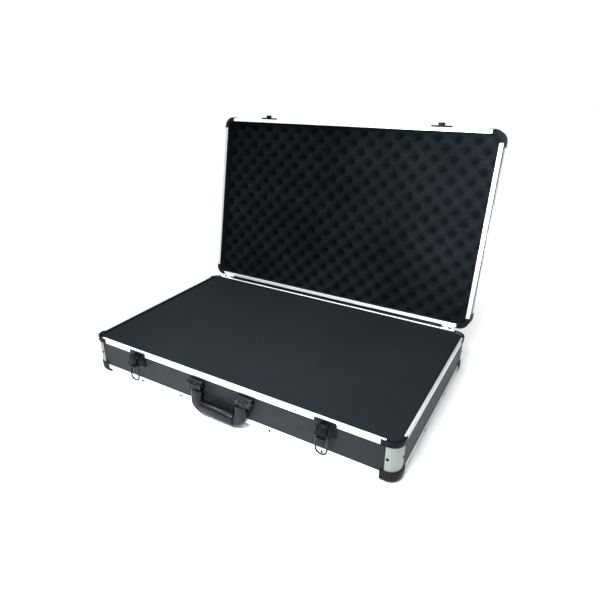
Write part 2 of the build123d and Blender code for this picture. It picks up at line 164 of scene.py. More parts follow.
class ShaderTree(Tree):
    """A material under construction, with its Principled shader at the end."""

    def __init__(self, name: str, leaned: bool = False) -> None:
        """Starts a material.

        Args:
            name: The material's name.
            leaned: Whether its pattern follows the open lid.
        """
        self.material = bpy.data.materials.new(name)
        self.material.use_nodes = True
        super().__init__(self.material.node_tree)
        self.shader = self.tree.nodes["Principled BSDF"]
        self.place = self.node("ShaderNodeTexCoord").outputs["Object"]
        if leaned:
            self.place = self.mapped(
                Rotation=(math.radians(LID.open_angle), 0, 0),
                Location=LID.opened().inverted().to_translation(),
            )

    def fix(self, **values: object) -> None:
        """Sets the shader's own sockets.

        Args:
            **values: Socket names, with underscores for spaces, and their values.
        """
        for key, value in values.items():
            self.shader.inputs[key.replace("_", " ")].default_value = value

    def mapped(self, **values: object) -> Socket:
        """The pattern's coordinates, moved, turned or scaled by a mapping's named inputs."""
        made = self.node("ShaderNodeMapping")
        for key, value in values.items():
            made.inputs[key].default_value = value
        self.link(self.place, made.inputs["Vector"])
        return made.outputs["Vector"]

    def noise(self, scale: float, detail: float = 3.0, vector: Socket | None = None) -> Socket:
        """A noise's factor.

        Args:
            scale: How many waves go into a metre.
            detail: How many finer layers it has.
            vector: The coordinates, or nothing for the pattern's own.

        Returns:
            The factor.
        """
        made = self.node("ShaderNodeTexNoise")
        made.inputs["Scale"].default_value = scale
        made.inputs["Detail"].default_value = detail
        self.link(self.place if vector is None else vector, made.inputs["Vector"])
        return made.outputs["Fac"]

    def cells(self, scale: float) -> Socket:
        """The distance to the nearest of many scattered points, for pores and grains."""
        made = self.node("ShaderNodeTexVoronoi")
        made.inputs["Scale"].default_value = scale
        self.link(self.place, made.inputs["Vector"])
        return made.outputs["Distance"]

    def along(self, direction: Triple) -> Socket:
        """How far each point lies in a direction."""
        made = self.node("ShaderNodeVectorMath", operation="DOT_PRODUCT")
        made.inputs[1].default_value = direction
        self.link(self.place, made.inputs[0])
        return made.outputs["Value"]

    def waves(self, direction: Triple, pitch: float) -> Socket:
        """A sine wave along a direction, with its pitch in millimetres."""
        turns = 2 * math.pi / (pitch * MM)
        return self.math("SINE", self.math("MULTIPLY", self.along(direction), turns))

    def ranged(self, value: Socket, source: Span, target: Span) -> Socket:
        """A value carried from one range to another, and held inside it."""
        made = self.node("ShaderNodeMapRange")
        for index, number in enumerate((*source, *target), 1):
            made.inputs[index].default_value = number
        self.link(value, made.inputs[0])
        return made.outputs["Result"]

    def tint(self, factor: Socket, first: Triple, second: Triple) -> None:
        """Paints the shader's base colour between two tints."""
        mix = self.node("ShaderNodeMix", data_type="RGBA")
        mix.inputs[6].default_value = (*first, 1)
        mix.inputs[7].default_value = (*second, 1)
        self.link(factor, mix.inputs[0])
        self.link(mix.outputs[2], self.shader.inputs["Base Color"])

    def roughen(self, value: Socket) -> None:
        """Drives the shader's roughness."""
        self.link(value, self.shader.inputs["Roughness"])

    def bump(self, height: Socket, strength: float, distance: float) -> None:
        """Adds relief under any that is already there."""
        made = self.node("ShaderNodeBump")
        made.inputs["Strength"].default_value = strength
        made.inputs["Distance"].default_value = distance
        self.link(height, made.inputs["Height"])
        normal = self.shader.inputs["Normal"]
        if normal.is_linked:
            self.link(normal.links[0].from_socket, made.inputs["Normal"])
        self.link(made.outputs["Normal"], normal)


@dataclass(frozen=True)
class Finish:
    """What every finish has: a name and whether it follows the open lid."""

    name: str
    leaned: bool = False

    def start(self) -> ShaderTree:
        """A new material under this finish's name."""
        return ShaderTree(self.name, self.leaned)

    def material(self) -> bpy.types.Material:
        """Builds the finish."""
        return self.start().material


@dataclass(frozen=True)
class DrawnAluminium(Finish):
    """Satin anodised aluminium with fine lines in the direction that it was drawn."""

    grain: Grain = Grain.ACROSS
    light: Triple = (0.93, 0.935, 0.94)
    dark: Triple = (0.80, 0.81, 0.82)
    metal: float = 0.55
    polish: Span = (0.30, 0.40)
    smudges: Span = (-0.03, 0.05)
    smudge_scale: float = 22.0
    relief: Span = (0.12, 0.0002)

    def material(self) -> bpy.types.Material:
        """Builds the finish."""
        tree = self.start()
        lines = tree.noise(1.0, 2.0, tree.mapped(Scale=self.grain.value))
        clouds = tree.noise(self.smudge_scale)
        tree.tint(tree.ranged(lines, NOISE_SPAN, UNIT), self.light, self.dark)
        polish = tree.ranged(lines, NOISE_SPAN, self.polish)
        tree.roughen(tree.math("ADD", polish, tree.ranged(clouds, NOISE_SPAN, self.smudges)))
        tree.bump(lines, *self.relief)
        tree.fix(Metallic=self.metal)
        return tree.material


@dataclass(frozen=True)
class WovenLaminate(Finish):
    """Dark laminated board with a fine diagonal weave pressed into it."""

    light: Triple = (0.0135, 0.0155, 0.0170)
    dark: Triple = (0.0080, 0.0094, 0.0106)
    pitch: float = 2.6
    threads: tuple[Triple, ...] = ((1, 1, 1), (1, -1, -1), (-1, 1, -1))
    worn_share: float = 0.6
    roughness: Span = (0.42, 0.60)
    weave_relief: Span = (0.25, 0.0003)
    speck_relief: Span = (0.15, 0.0002)
    gloss: float = 0.14

    def material(self) -> bpy.types.Material:
        """Builds the finish."""
        tree = self.start()
        first, second, third = (tree.waves(way, self.pitch) for way in self.threads)
        weave = tree.math("MULTIPLY", tree.math("MULTIPLY", first, second), third)
        specks = tree.noise(1400.0, 2.0)
        worn = tree.ranged(tree.noise(60.0, 5.0), NOISE_CORE, (0.0, self.worn_share))
        woven = tree.ranged(weave, (-1, 1), (0.0, 1.0 - self.worn_share))
        tree.tint(tree.math("ADD", worn, woven), self.dark, self.light)
        tree.roughen(tree.ranged(specks, NOISE_SPAN, self.roughness))
        tree.bump(weave, *self.weave_relief)
        tree.bump(specks, *self.speck_relief)
        tree.fix(Specular_IOR_Level=self.gloss)
        return tree.material


@dataclass(frozen=True)
class MouldedPlastic(Finish):
    """Black moulded plastic with a fine spark-eroded grain, and ribs where it has a pitch."""

    light: Triple = (0.0042, 0.0047, 0.0058)
    dark: Triple = (0.0020, 0.0022, 0.0028)
    roughness: Span = (0.34, 0.48)
    gloss: float = 0.10
    grain: float = 1500.0
    rib_pitch: float = 0.0
    rib_relief: Span = (0.6, 0.0004)
    grain_relief: Span = (0.12, 0.0002)

    def material(self) -> bpy.types.Material:
        """Builds the finish."""
        tree = self.start()
        clouds = tree.noise(45.0, 4.0)
        tree.tint(tree.ranged(clouds, NOISE_CORE, UNIT), self.dark, self.light)
        tree.roughen(tree.ranged(clouds, NOISE_SPAN, self.roughness))
        if self.rib_pitch:
            tree.bump(tree.waves((0, 0, 1), self.rib_pitch), *self.rib_relief)
        tree.bump(tree.noise(self.grain, 2.0), *self.grain_relief)
        tree.fix(Specular_IOR_Level=self.gloss)
        return tree.material


@dataclass(frozen=True)
class OpenCellFoam(Finish):
    """Dark open-cell foam, with pores, a soft mottle and, where hollow heights are given, painted shade that
    darkens its hollows.
    """

    light: Triple = (0.0118, 0.0140, 0.0156)
    dark: Triple = (0.0080, 0.0097, 0.0109)
    pore: float = 900.0
    mottle: float = 9.0
    # Heights between which the colour is darkened down into the hollows: painted shade, not a real tone of the
    # foam.
    hollow_shade_heights: Span | None = None
    fluff: float = 420.0
    fluff_share: float = 0.6
    hollow_shade_power: float = 0.8
    fluff_relief: Span = (0.5, 0.0006)
    pore_relief: Span = (0.5, 0.0005)

    def material(self) -> bpy.types.Material:
        """Builds the finish."""
        tree = self.start()
        fluff = tree.noise(self.fluff, 4.0)
        mottle = tree.ranged(tree.noise(self.mottle), NOISE_SPAN, (0.0, 1.0 - self.fluff_share))
        mixed = tree.math("ADD", tree.ranged(fluff, NOISE_SPAN, (0.0, self.fluff_share)), mottle)
        # Painted shade: the colour falls towards the dark tint from the peaks down into the hollows, standing in
        # for the shade that gathers there.
        if self.hollow_shade_heights:
            low, high = (height * MM for height in self.hollow_shade_heights)
            depth = tree.ranged(tree.along((0, 0, 1)), (low, high), (1.0, 0.0))
            mixed = tree.math("MULTIPLY", mixed, tree.math("POWER", depth, self.hollow_shade_power))
        tree.tint(mixed, self.dark, self.light)
        tree.bump(fluff, *self.fluff_relief)
        tree.bump(tree.cells(self.pore), *self.pore_relief)
        tree.fix(Roughness=0.95, Specular_IOR_Level=0.03)
        return tree.material


@dataclass(frozen=True)
class PlainSteel(Finish):
    """Plated steel for pins."""

    light: Triple = (0.55, 0.56, 0.57)
    dark_share: float = 0.7
    roughness: Span = (0.25, 0.45)

    def material(self) -> bpy.types.Material:
        """Builds the finish."""
        tree = self.start()
        clouds = tree.noise(300.0)
        tree.tint(clouds, self.light, tuple(self.dark_share * c for c in self.light))
        tree.roughen(tree.ranged(clouds, NOISE_SPAN, self.roughness))
        tree.fix(Metallic=1.0)
        return tree.material


def twice(kind: type[Finish], name: str, **values: object) -> dict[bool, bpy.types.Material]:
    """One finish, made for the tray and again for the lid.

    Args:
        kind: The finish's class.
        name: The name of the tray's material.
        **values: What differs from the class's own values.

    Returns:
        The tray's material under False and the lid's under True.
    """
    return {
        leaned: kind(f"{name}{' lid' if leaned else ''}", leaned, **values).material()
        for leaned in (False, True)
    }


class Finishes:
    """Every finish of the case, each made once."""

    def __init__(self) -> None:
        """Makes the materials."""
        # The left and right extrusions get a darker copy of the same aluminium: painted shade for the sides that
        # stand less in the light.
        painted_side_shade = {"light": (0.56, 0.58, 0.595), "dark": (0.47, 0.485, 0.50)}
        self.metal = {
            grain: twice(
                DrawnAluminium, f"drawn aluminium {grain.name.lower()}", grain=grain, **tints
            )
            for grain, tints in ((Grain.ACROSS, {}), (Grain.DEEP, painted_side_shade))
        }
        self.post_metal = twice(
            DrawnAluminium, "brushed post", grain=Grain.UPRIGHT,
            light=(0.225, 0.243, 0.228), dark=(0.185, 0.200, 0.188), metal=0.4,
        )
        self.board = twice(WovenLaminate, "woven laminate")
        self.caps = twice(MouldedPlastic, "ribbed corner plastic", rib_pitch=2.6)
        self.rims = MouldedPlastic("rim corner plastic", gloss=0.06, rib_pitch=1.9).material()
        self.grip = MouldedPlastic(
            "polished grip plastic", roughness=(0.24, 0.32), gloss=0.20, grain=500.0
        ).material()
        self.enamel = MouldedPlastic(
            "black latch enamel", roughness=(0.25, 0.36), gloss=0.07
        ).material()
        # Near-black finish for the hinge rails: painted shade for the dark gap between the two rims.
        self.hinge_gap_shade = MouldedPlastic("black anodised hinge", roughness=(0.35, 0.45)).material()
        self.wire = MouldedPlastic("black wire enamel", roughness=(0.2, 0.3)).material()
        self.rivet = MouldedPlastic("black rivet", roughness=(0.3, 0.4), gloss=0.05).material()
        self.steel = PlainSteel("plated steel").material()
        self.foam = OpenCellFoam("tray foam").material()
        # The egg-crate foam darkens between 94 and 107 mm: painted shade in its hollows.
        self.crate = OpenCellFoam(
            "egg-crate foam", True, light=(0.0086, 0.0108, 0.0124),
            dark=(0.0017, 0.0023, 0.0027), hollow_shade_heights=(94.0, 107.0),
        ).material()
        self.felt = twice(
            OpenCellFoam, "lining", light=(0.016, 0.017, 0.019), dark=(0.008, 0.008, 0.009),
            pore=1500.0, mottle=30.0,
        )


def new_object(name: str, mesh: bpy.types.Mesh) -> bpy.types.Object:
    """Puts a mesh in the scene as an object at the origin."""
    made = bpy.data.objects.new(name, mesh)
    bpy.context.scene.collection.objects.link(made)
    return made


def hold(piece: bpy.types.Object, nodes: tuple[str, ...], body: str) -> None:
    """Ties a finished piece to its body and the nodes it stands for."""
    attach(piece, body)
    if nodes:
        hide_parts(*nodes)
    log.info("%s rides on %s", piece.name, body)


def dressed(node: str, edge: float, finish: bpy.types.Material, steps: int = 2) -> bpy.types.Object:
    """A node with its triangles merged, its edges eased and a finish of its own.

    Args:
        node: The node that the piece is made from and stands for.
        edge: The radius of the eased edges in millimetres, or 0 for none.
        finish: The material.
        steps: How many faces go round an eased edge.

    Returns:
        The piece, which rides on the node's body.
    """
    mesh = frame["nodes"][node].data.copy()
    mesh.name = f"{node}_dressed"
    form = bmesh.new()
    form.from_mesh(mesh)
    bmesh.ops.remove_doubles(form, verts=form.verts, dist=MERGE_GAP)
    bmesh.ops.dissolve_limit(
        form, angle_limit=math.radians(FLAT_ANGLE), verts=form.verts, edges=form.edges
    )
    for face in form.faces:
        face.smooth = True
    form.to_mesh(mesh)
    form.free()
    mesh.materials.clear()
    mesh.materials.append(finish)
    piece = new_object(f"{node}_dressed", mesh)
    if edge:
        bevel = piece.modifiers.new("eased edges", "BEVEL")
        bevel.width = edge * MM
        bevel.segments = steps
        bevel.limit_method = "ANGLE"
        bevel.angle_limit = math.radians(SHARP_ANGLE)
        bevel.harden_normals = True
    else:
        mesh.set_sharp_from_angle(angle=math.radians(SHARP_ANGLE))
    hold(piece, (node,), NODE_BODY[node])
    return piece


def skin(form: bmesh.types.BMesh, rings: list[list[bmesh.types.BMVert]]) -> None:
    """Skins a row of rings of equal length and closes both ends."""
    for first, second in zip(rings, rings[1:]):
        for index in range(len(first)):
            form.faces.new((first[index - 1], first[index], second[index], second[index - 1]))
    form.faces.new(rings[0])
    form.faces.new(rings[-1][::-1])


def outward_mesh(
    form: bmesh.types.BMesh, name: str, finish: bpy.types.Material
) -> bpy.types.Mesh:
    """Turns a form's faces outward and makes it a mesh with a finish."""
    bmesh.ops.recalc_face_normals(form, faces=form.faces)
    mesh = bpy.data.meshes.new(name)
    form.to_mesh(mesh)
    form.free()
    mesh.materials.append(finish)
    return mesh


class GeometryTree(Tree):
    """A Geometry Nodes tree under construction."""

    def __init__(self, name: str, sizes: dict[str, float | int]) -> None:
        """Starts a tree with a geometry input, these sizes and a material.

        Args:
            name: The tree's name.
            sizes: The named inputs and their values.
        """
        super().__init__(bpy.data.node_groups.new(name, "GeometryNodeTree"))
        face = self.tree.interface
        for way in ("INPUT", "OUTPUT"):
            face.new_socket("Geometry", in_out=way, socket_type="NodeSocketGeometry")
        self.values: dict[str, object] = {}
        for key, value in sizes.items():
            kind = "NodeSocketInt" if isinstance(value, int) else "NodeSocketFloat"
            socket = face.new_socket(key, in_out="INPUT", socket_type=kind)
            self.values[socket.identifier] = value
        stuff = face.new_socket("Finish", in_out="INPUT", socket_type="NodeSocketMaterial")
        self.finish_socket = stuff.identifier
        self.source = self.node("NodeGroupInput")
        self.result = self.node("NodeGroupOutput")

    def size(self, name: str) -> Socket:
        """One of the tree's named inputs."""
        return self.source.outputs[name]

    def vector(self, x: object, y: object, z: object) -> Socket:
        """A vector from three sockets or numbers."""
        return self.feed(self.node("ShaderNodeCombineXYZ"), (x, y, z))

    def place(self) -> tuple[Socket, ...]:
        """The x, y and z of each point."""
        parts = self.node("ShaderNodeSeparateXYZ")
        self.link(self.node("GeometryNodeInputPosition").outputs[0], parts.inputs[0])
        return tuple(parts.outputs)

    def moved(self, geometry: Socket, x: object, y: object, z: object) -> Socket:
        """A geometry with each of its points put at a new place."""
        move = self.node("GeometryNodeSetPosition")
        self.link(geometry, move.inputs["Geometry"])
        self.link(self.vector(x, y, z), move.inputs["Position"])
        return move.outputs[0]

    def finish(self, geometry: Socket) -> None:
        """Ends the tree: real geometry, smooth faces and the material."""
        real = self.node("GeometryNodeRealizeInstances")
        smooth = self.node("GeometryNodeSetShadeSmooth")
        paint = self.node("GeometryNodeSetMaterial")
        self.link(geometry, real.inputs[0])
        self.link(real.outputs[0], smooth.inputs["Geometry"])
        self.link(smooth.outputs[0], paint.inputs["Geometry"])
        self.link(self.source.outputs["Finish"], paint.inputs["Material"])
        self.link(paint.outputs[0], self.result.inputs[0])

    def grow(
        self, name: str, start: bpy.types.Mesh, finish: bpy.types.Material
    ) -> bpy.types.Object:
        """Runs the tree on a mesh and keeps the result as a plain mesh.

        Args:
            name: The new object's name.
            start: The mesh that the tree starts from.
            finish: The material that the tree sets.

        Returns:
            An object with the result and no modifier.
        """
        seed = new_object(f"{name}_seed", start)
        modifier = seed.modifiers.new("tree", "NODES")
        modifier.node_group = self.tree
        for identifier, value in self.values.items():
            modifier[identifier] = value
        modifier[self.finish_socket] = finish
        bpy.context.view_layer.update()
        result = seed.evaluated_get(bpy.context.evaluated_depsgraph_get())
        mesh = bpy.data.meshes.new_from_object(result)
        mesh.name = name
        bpy.data.objects.remove(seed)
        if not mesh.materials:
            mesh.materials.append(finish)
        return new_object(name, mesh)


@dataclass
class SubAssembly:
    """A group of pieces that is made with the case's finishes. Sizes in millimetres."""

    finishes: Finishes

    def build(self) -> None:
        """Makes the pieces."""
        raise NotImplementedError


@dataclass
class Walls(SubAssembly):
    """Boards and the extrusions that frame them."""

    metal_edge: float = 0.3
    board_edge: float = 0.3

    def build(self) -> None:
        """Makes the walls of the tray and of the lid, then the floor and the lid's top."""
        for half, leaned in (("base", False), ("lid", True)):
            for side in Side:
                # Front and rear walls get the bright aluminium; left and right walls get its darker copy, which is
                # painted shade.
                metal = self.finishes.metal[side.grain][leaned]
                board = self.finishes.board[leaned]
                dressed(f"{half}_{side.value}_panel", self.board_edge, board)
                dressed(f"{half}_{side.value}_edge", self.metal_edge, metal)
                dressed(f"{half}_{side.value}_rim", self.metal_edge, metal)
        dressed("base_floor_panel", self.board_edge, self.finishes.board[False])
        dressed("lid_top_panel", self.board_edge, self.finishes.board[True])


@dataclass
class Corners(SubAssembly):
    """Posts, rim caps and ball caps."""

    post_edge: float = 0.3
    cap_edge: float = 0.5

    def build(self) -> None:
        """Makes the tray's corners one by one, and the lid's together."""
        posts, caps = self.finishes.post_metal, self.finishes.caps
        for corner in Corner:
            name = corner.name.lower()
            dressed(f"base_{name}_post", self.post_edge, posts[False])
            dressed(f"base_{name}_ball_cap", self.cap_edge, caps[False])
        dressed("lid_corner_posts", self.post_edge, posts[True])
        dressed("lid_ball_caps", self.cap_edge, caps[True])
        dressed("base_rim_corner_caps", self.cap_edge, self.finishes.rims)
        dressed("lid_rim_corner_caps", self.cap_edge, self.finishes.rims)


@dataclass
class CaseHinge(SubAssembly):
    """The two hinge extrusions and their end pieces."""

    rail_edge: float = 0.2
    end_edge: float = 0.6
    # Where the dark strips lie that paint the shade of slots onto the end pieces; they are thin black pieces, not
    # cut slots.
    shadow_strip_spans: tuple[Span, ...] = ((281.8, 287.9), (296.2, 303.6))
    shadow_strip_arc: Span = (112.0, 146.0)
    shadow_strip_radii: Span = (5.3, 5.7)
    shadow_strip_steps: int = 4

    def build(self) -> None:
        """Makes the rails, the end pieces and the dark strips on them, which are painted shade."""
        # The rails take the near-black finish, which paints the shade of the hinge gap.
        dressed("base_hinge_rail", self.rail_edge, self.finishes.hinge_gap_shade)
        dressed("lid_hinge_rail", self.rail_edge, self.finishes.hinge_gap_shade)
        for side in SIDES:
            dressed(f"hinge_end_{side}", self.end_edge, self.finishes.metal[Grain.ACROSS][False])
        self.slots()

    def slots(self) -> None:
        """Dark strips laid on both end pieces: painted shade standing in for slots, carrying the line of the hinge
        on.
        """
        form = bmesh.new()
        first, last = self.shadow_strip_arc
        inner, outer = self.shadow_strip_radii
        for sign in SIGNS:
            for low, high in self.shadow_strip_spans:
                rings = []
                for step in range(self.shadow_strip_steps + 1):
                    angle = math.radians(first + step * (last - first) / self.shadow_strip_steps)
                    ring = []
                    for x, radius in ((low, inner), (high, inner), (high, outer), (low, outer)):
                        y = LID.axis_y + radius * MM * math.cos(angle)
                        z = LID.axis_z + radius * MM * math.sin(angle)
                        ring.append(form.verts.new((sign * x * MM, y, z)))
                    rings.append(ring)
                skin(form, rings)
        mesh = outward_mesh(form, "hinge_slots", self.finishes.rivet)
        hold(new_object("hinge_slots", mesh), (), "base")


@dataclass
class CarryHandle(SubAssembly):
    """The moulded handle, its mounts and its pins."""

    handle_edge: float = 0.8
    mount_edge: float = 0.6
    pin_edge: float = 0.2
    edge_steps: int = 3

    def build(self) -> None:
        """Makes the handle, the mounts and the pins."""
        dressed("handle", self.handle_edge, self.finishes.grip, self.edge_steps)
        for side in SIDES:
            mount = f"handle_mount_{side}"
            dressed(mount, self.mount_edge, self.finishes.grip, self.edge_steps)
        dressed("handle_pins", self.pin_edge, self.finishes.steel)


@dataclass
class DrawLatches(SubAssembly):
    """Plates, levers, bails, pins and strikes."""

    plate_edge: float = 0.3
    pin_edge: float = 0.2
    latch_x: float = 210.0
    strike_face: float = -203.6
    foot_width: float = 42.0
    foot_low: float = 85.0
    foot_high: float = 90.5
    foot_proud: float = 2.8
    foot_round: float = 0.6
    hook_places: tuple[float, ...] = (0.5, 5.0, 5.1, 6.0, 6.7)
    lip_half: float = 5.0
    lip_y: float = -210.9
    lip_high: float = 92.9
    ledge_high: float = 88.6
    hook_thick: float = 1.25
    bail_inner: float = 9.9
    flat_sag: float = 1.3
    hook_crease: float = 40.0

    def build(self) -> None:
        """Makes both latches, their strikes and the pins."""
        enamel = self.finishes.enamel
        for side, sign in zip(SIDES, SIGNS):
            dressed(f"latch_plate_{side}", self.plate_edge, enamel)
            dressed(f"latch_lever_{side}", self.plate_edge, enamel)
            dressed(f"latch_bail_{side}", 0, self.finishes.wire)
            dressed(f"lid_strike_{side}", self.plate_edge, enamel)
            self.strike_hook(side, sign)
        dressed("latch_pins", self.pin_edge, self.finishes.steel)

    def strike_foot(self, form: bmesh.types.BMesh) -> None:
        """The pressed foot of a strike, as a block with eased edges."""
        size = (self.foot_width, self.foot_proud, self.foot_high - self.foot_low)
        centre_z = (self.foot_low + self.foot_high) / 2
        middle = Vector((0, self.strike_face - self.foot_proud / 2, centre_z)) * MM
        place = Matrix.Translation(middle) @ Matrix.Diagonal((*(s * MM for s in size), 1))
        bmesh.ops.create_cube(form, size=1.0, matrix=place)
        bmesh.ops.bevel(
            form, geom=form.edges[:], offset=self.foot_round * MM, segments=2, affect="EDGES"
        )

    def hook_outline(self, x: float) -> tuple[Span, ...]:
        """The y and z of the hook's section.

        Args:
            x: How far the section is from the hook's middle.

        Returns:
            Its points in order. The ledge falls away under the round of the bail.
        """
        sag = self.bail_inner - math.sqrt(self.bail_inner**2 - x**2)
        ledge = self.ledge_high - max(0.0, sag - self.flat_sag)
        lip = self.lip_high if abs(x) <= self.lip_half else ledge
        low = ledge - self.hook_thick
        front_y = self.lip_y - self.hook_thick
        return (
            (self.strike_face, low), (self.strike_face, ledge), (self.lip_y, ledge),
            (self.lip_y, lip), (front_y, lip), (front_y, low),
        )

    def strike_hook(self, side: str, sign: int) -> None:
        """The pressed foot and the arched hook of one strike, which the round bail drops on.

        Args:
            side: The strike's side.
            sign: The sign of its x.
        """
        form = bmesh.new()
        self.strike_foot(form)
        places = (*(-x for x in reversed(self.hook_places)), *self.hook_places)
        skin(form, [
            [form.verts.new(Vector((x, y, z)) * MM) for y, z in self.hook_outline(x)]
            for x in places
        ])
        bmesh.ops.remove_doubles(form, verts=form.verts, dist=1e-6)
        for face in form.faces:
            face.smooth = True
        mesh = outward_mesh(form, f"strike_hook_{side}", self.finishes.enamel)
        mesh.transform(LID.opened() @ Matrix.Translation((sign * self.latch_x * MM, 0, 0)))
        mesh.set_sharp_from_angle(angle=math.radians(self.hook_crease))
        hold(new_object(f"strike_hook_{side}", mesh), (), "lid")


@dataclass
class CaseFoam(SubAssembly):
    """The plain foam of the tray, the egg-crate foam of the lid and the linings."""

    width: float = 654.8
    depth: float = 389.8
    corner: float = 12.4
    pitch_x: float = 41.5
    pitch_y: float = 42.6
    shift_x: float = -4.0
    shift_y: float = 8.0
    peak_z: float = 91.4
    valley_z: float = 109.5
    back_z: float = 119.5
    columns: int = 219
    rows: int = 131
    sharpness: float = 0.5
    crease: float = 60.0
    tray_edge: float = 1.8
    lining_edge: float = 0.5

    def build(self) -> None:
        """Makes the tray's pad, the lid's pad and both linings."""
        self.tray_pad()
        self.lid_pad()
        for node, leaned in (("base_wall_lining", False), ("lid_wall_lining", True)):
            dressed(node, self.lining_edge, self.finishes.felt[leaned])

    def tray_pad(self) -> None:
        """The tray's plain pad, with edges eased by the knife that cut it."""
        pad = dressed("base_foam", self.tray_edge, self.finishes.foam, 3)

    def egg_crate_tree(self) -> GeometryTree:
        """The rule of the egg-crate surface: one wave along each side of the lid."""
        lengths = {
            "Width": self.width, "Depth": self.depth,
            "Pitch Across": self.pitch_x, "Pitch Along": self.pitch_y,
            "Shift Across": self.shift_x, "Shift Along": self.shift_y,
            "Peak": self.peak_z, "Valley": self.valley_z, "Back": self.back_z,
        }
        sizes = {name: length * MM for name, length in lengths.items()}
        sizes |= {"Sharpness": self.sharpness, "Columns": self.columns, "Rows": self.rows}
        tree = GeometryTree("egg crate", sizes)
        slab = tree.node("GeometryNodeMeshCube")
        tree.link(tree.vector(tree.size("Width"), tree.size("Depth"), 0.01), slab.inputs["Size"])
        tree.link(tree.size("Columns"), slab.inputs["Vertices X"])
        tree.link(tree.size("Rows"), slab.inputs["Vertices Y"])
        slab.inputs["Vertices Z"].default_value = 2
        x, y, z = tree.place()
        waves = []
        for value, way in ((x, "Across"), (y, "Along")):
            shifted = tree.math("SUBTRACT", value, tree.size(f"Shift {way}"))
            turns = tree.math("DIVIDE", shifted, tree.size(f"Pitch {way}"))
            waves.append(tree.math("COSINE", tree.math("MULTIPLY", turns, 2 * math.pi)))
        wave = tree.math("MULTIPLY", *waves)
        height = tree.math("DIVIDE", tree.math("ADD", wave, 1.0), 2.0)
        lifted = tree.math("POWER", tree.math("MAXIMUM", height, 0.0), tree.size("Sharpness"))
        rise = tree.math("SUBTRACT", tree.size("Peak"), tree.size("Valley"))
        face = tree.math("MULTIPLY_ADD", lifted, rise, tree.size("Valley"))
        low = tree.math("LESS_THAN", z, 0.0)
        back = tree.math("MULTIPLY", tree.math("SUBTRACT", 1.0, low), tree.size("Back"))
        final = tree.math("MULTIPLY_ADD", low, face, back)
        tree.finish(tree.moved(slab.outputs["Mesh"], x, y, final))
        return tree

    def lid_pad(self) -> None:
        """The egg-crate pad, trimmed to the lid's round corners and swung open."""
        seed = bpy.data.meshes.new("seed")
        pad = self.egg_crate_tree().grow("lid_egg_crate", seed, self.finishes.crate)
        form = bmesh.new()
        form.from_mesh(pad.data)
        back_from = (self.back_z - 0.1) * MM
        back = [face for face in form.faces if all(v.co.z > back_from for v in face.verts)]
        corners = {vert for face in back for vert in face.verts}
        inner = [vert for vert in corners if all(face in back for face in vert.link_faces)]
        bmesh.ops.dissolve_verts(form, verts=inner)
        reach_x = self.width / 2 * MM - self.corner * MM
        reach_y = self.depth / 2 * MM - self.corner * MM
        for vert in form.verts:
            over_x = abs(vert.co.x) - reach_x
            over_y = abs(vert.co.y) - reach_y
            if over_x > 0 and over_y > 0:
                keep = min(1.0, self.corner * MM / math.hypot(over_x, over_y))
                vert.co.x = math.copysign(reach_x + over_x * keep, vert.co.x)
                vert.co.y = math.copysign(reach_y + over_y * keep, vert.co.y)
        form.to_mesh(pad.data)
        form.free()
        pad.data.transform(LID.opened())
        pad.data.set_sharp_from_angle(angle=math.radians(self.crease))
        hold(pad, ("lid_foam",), "lid")


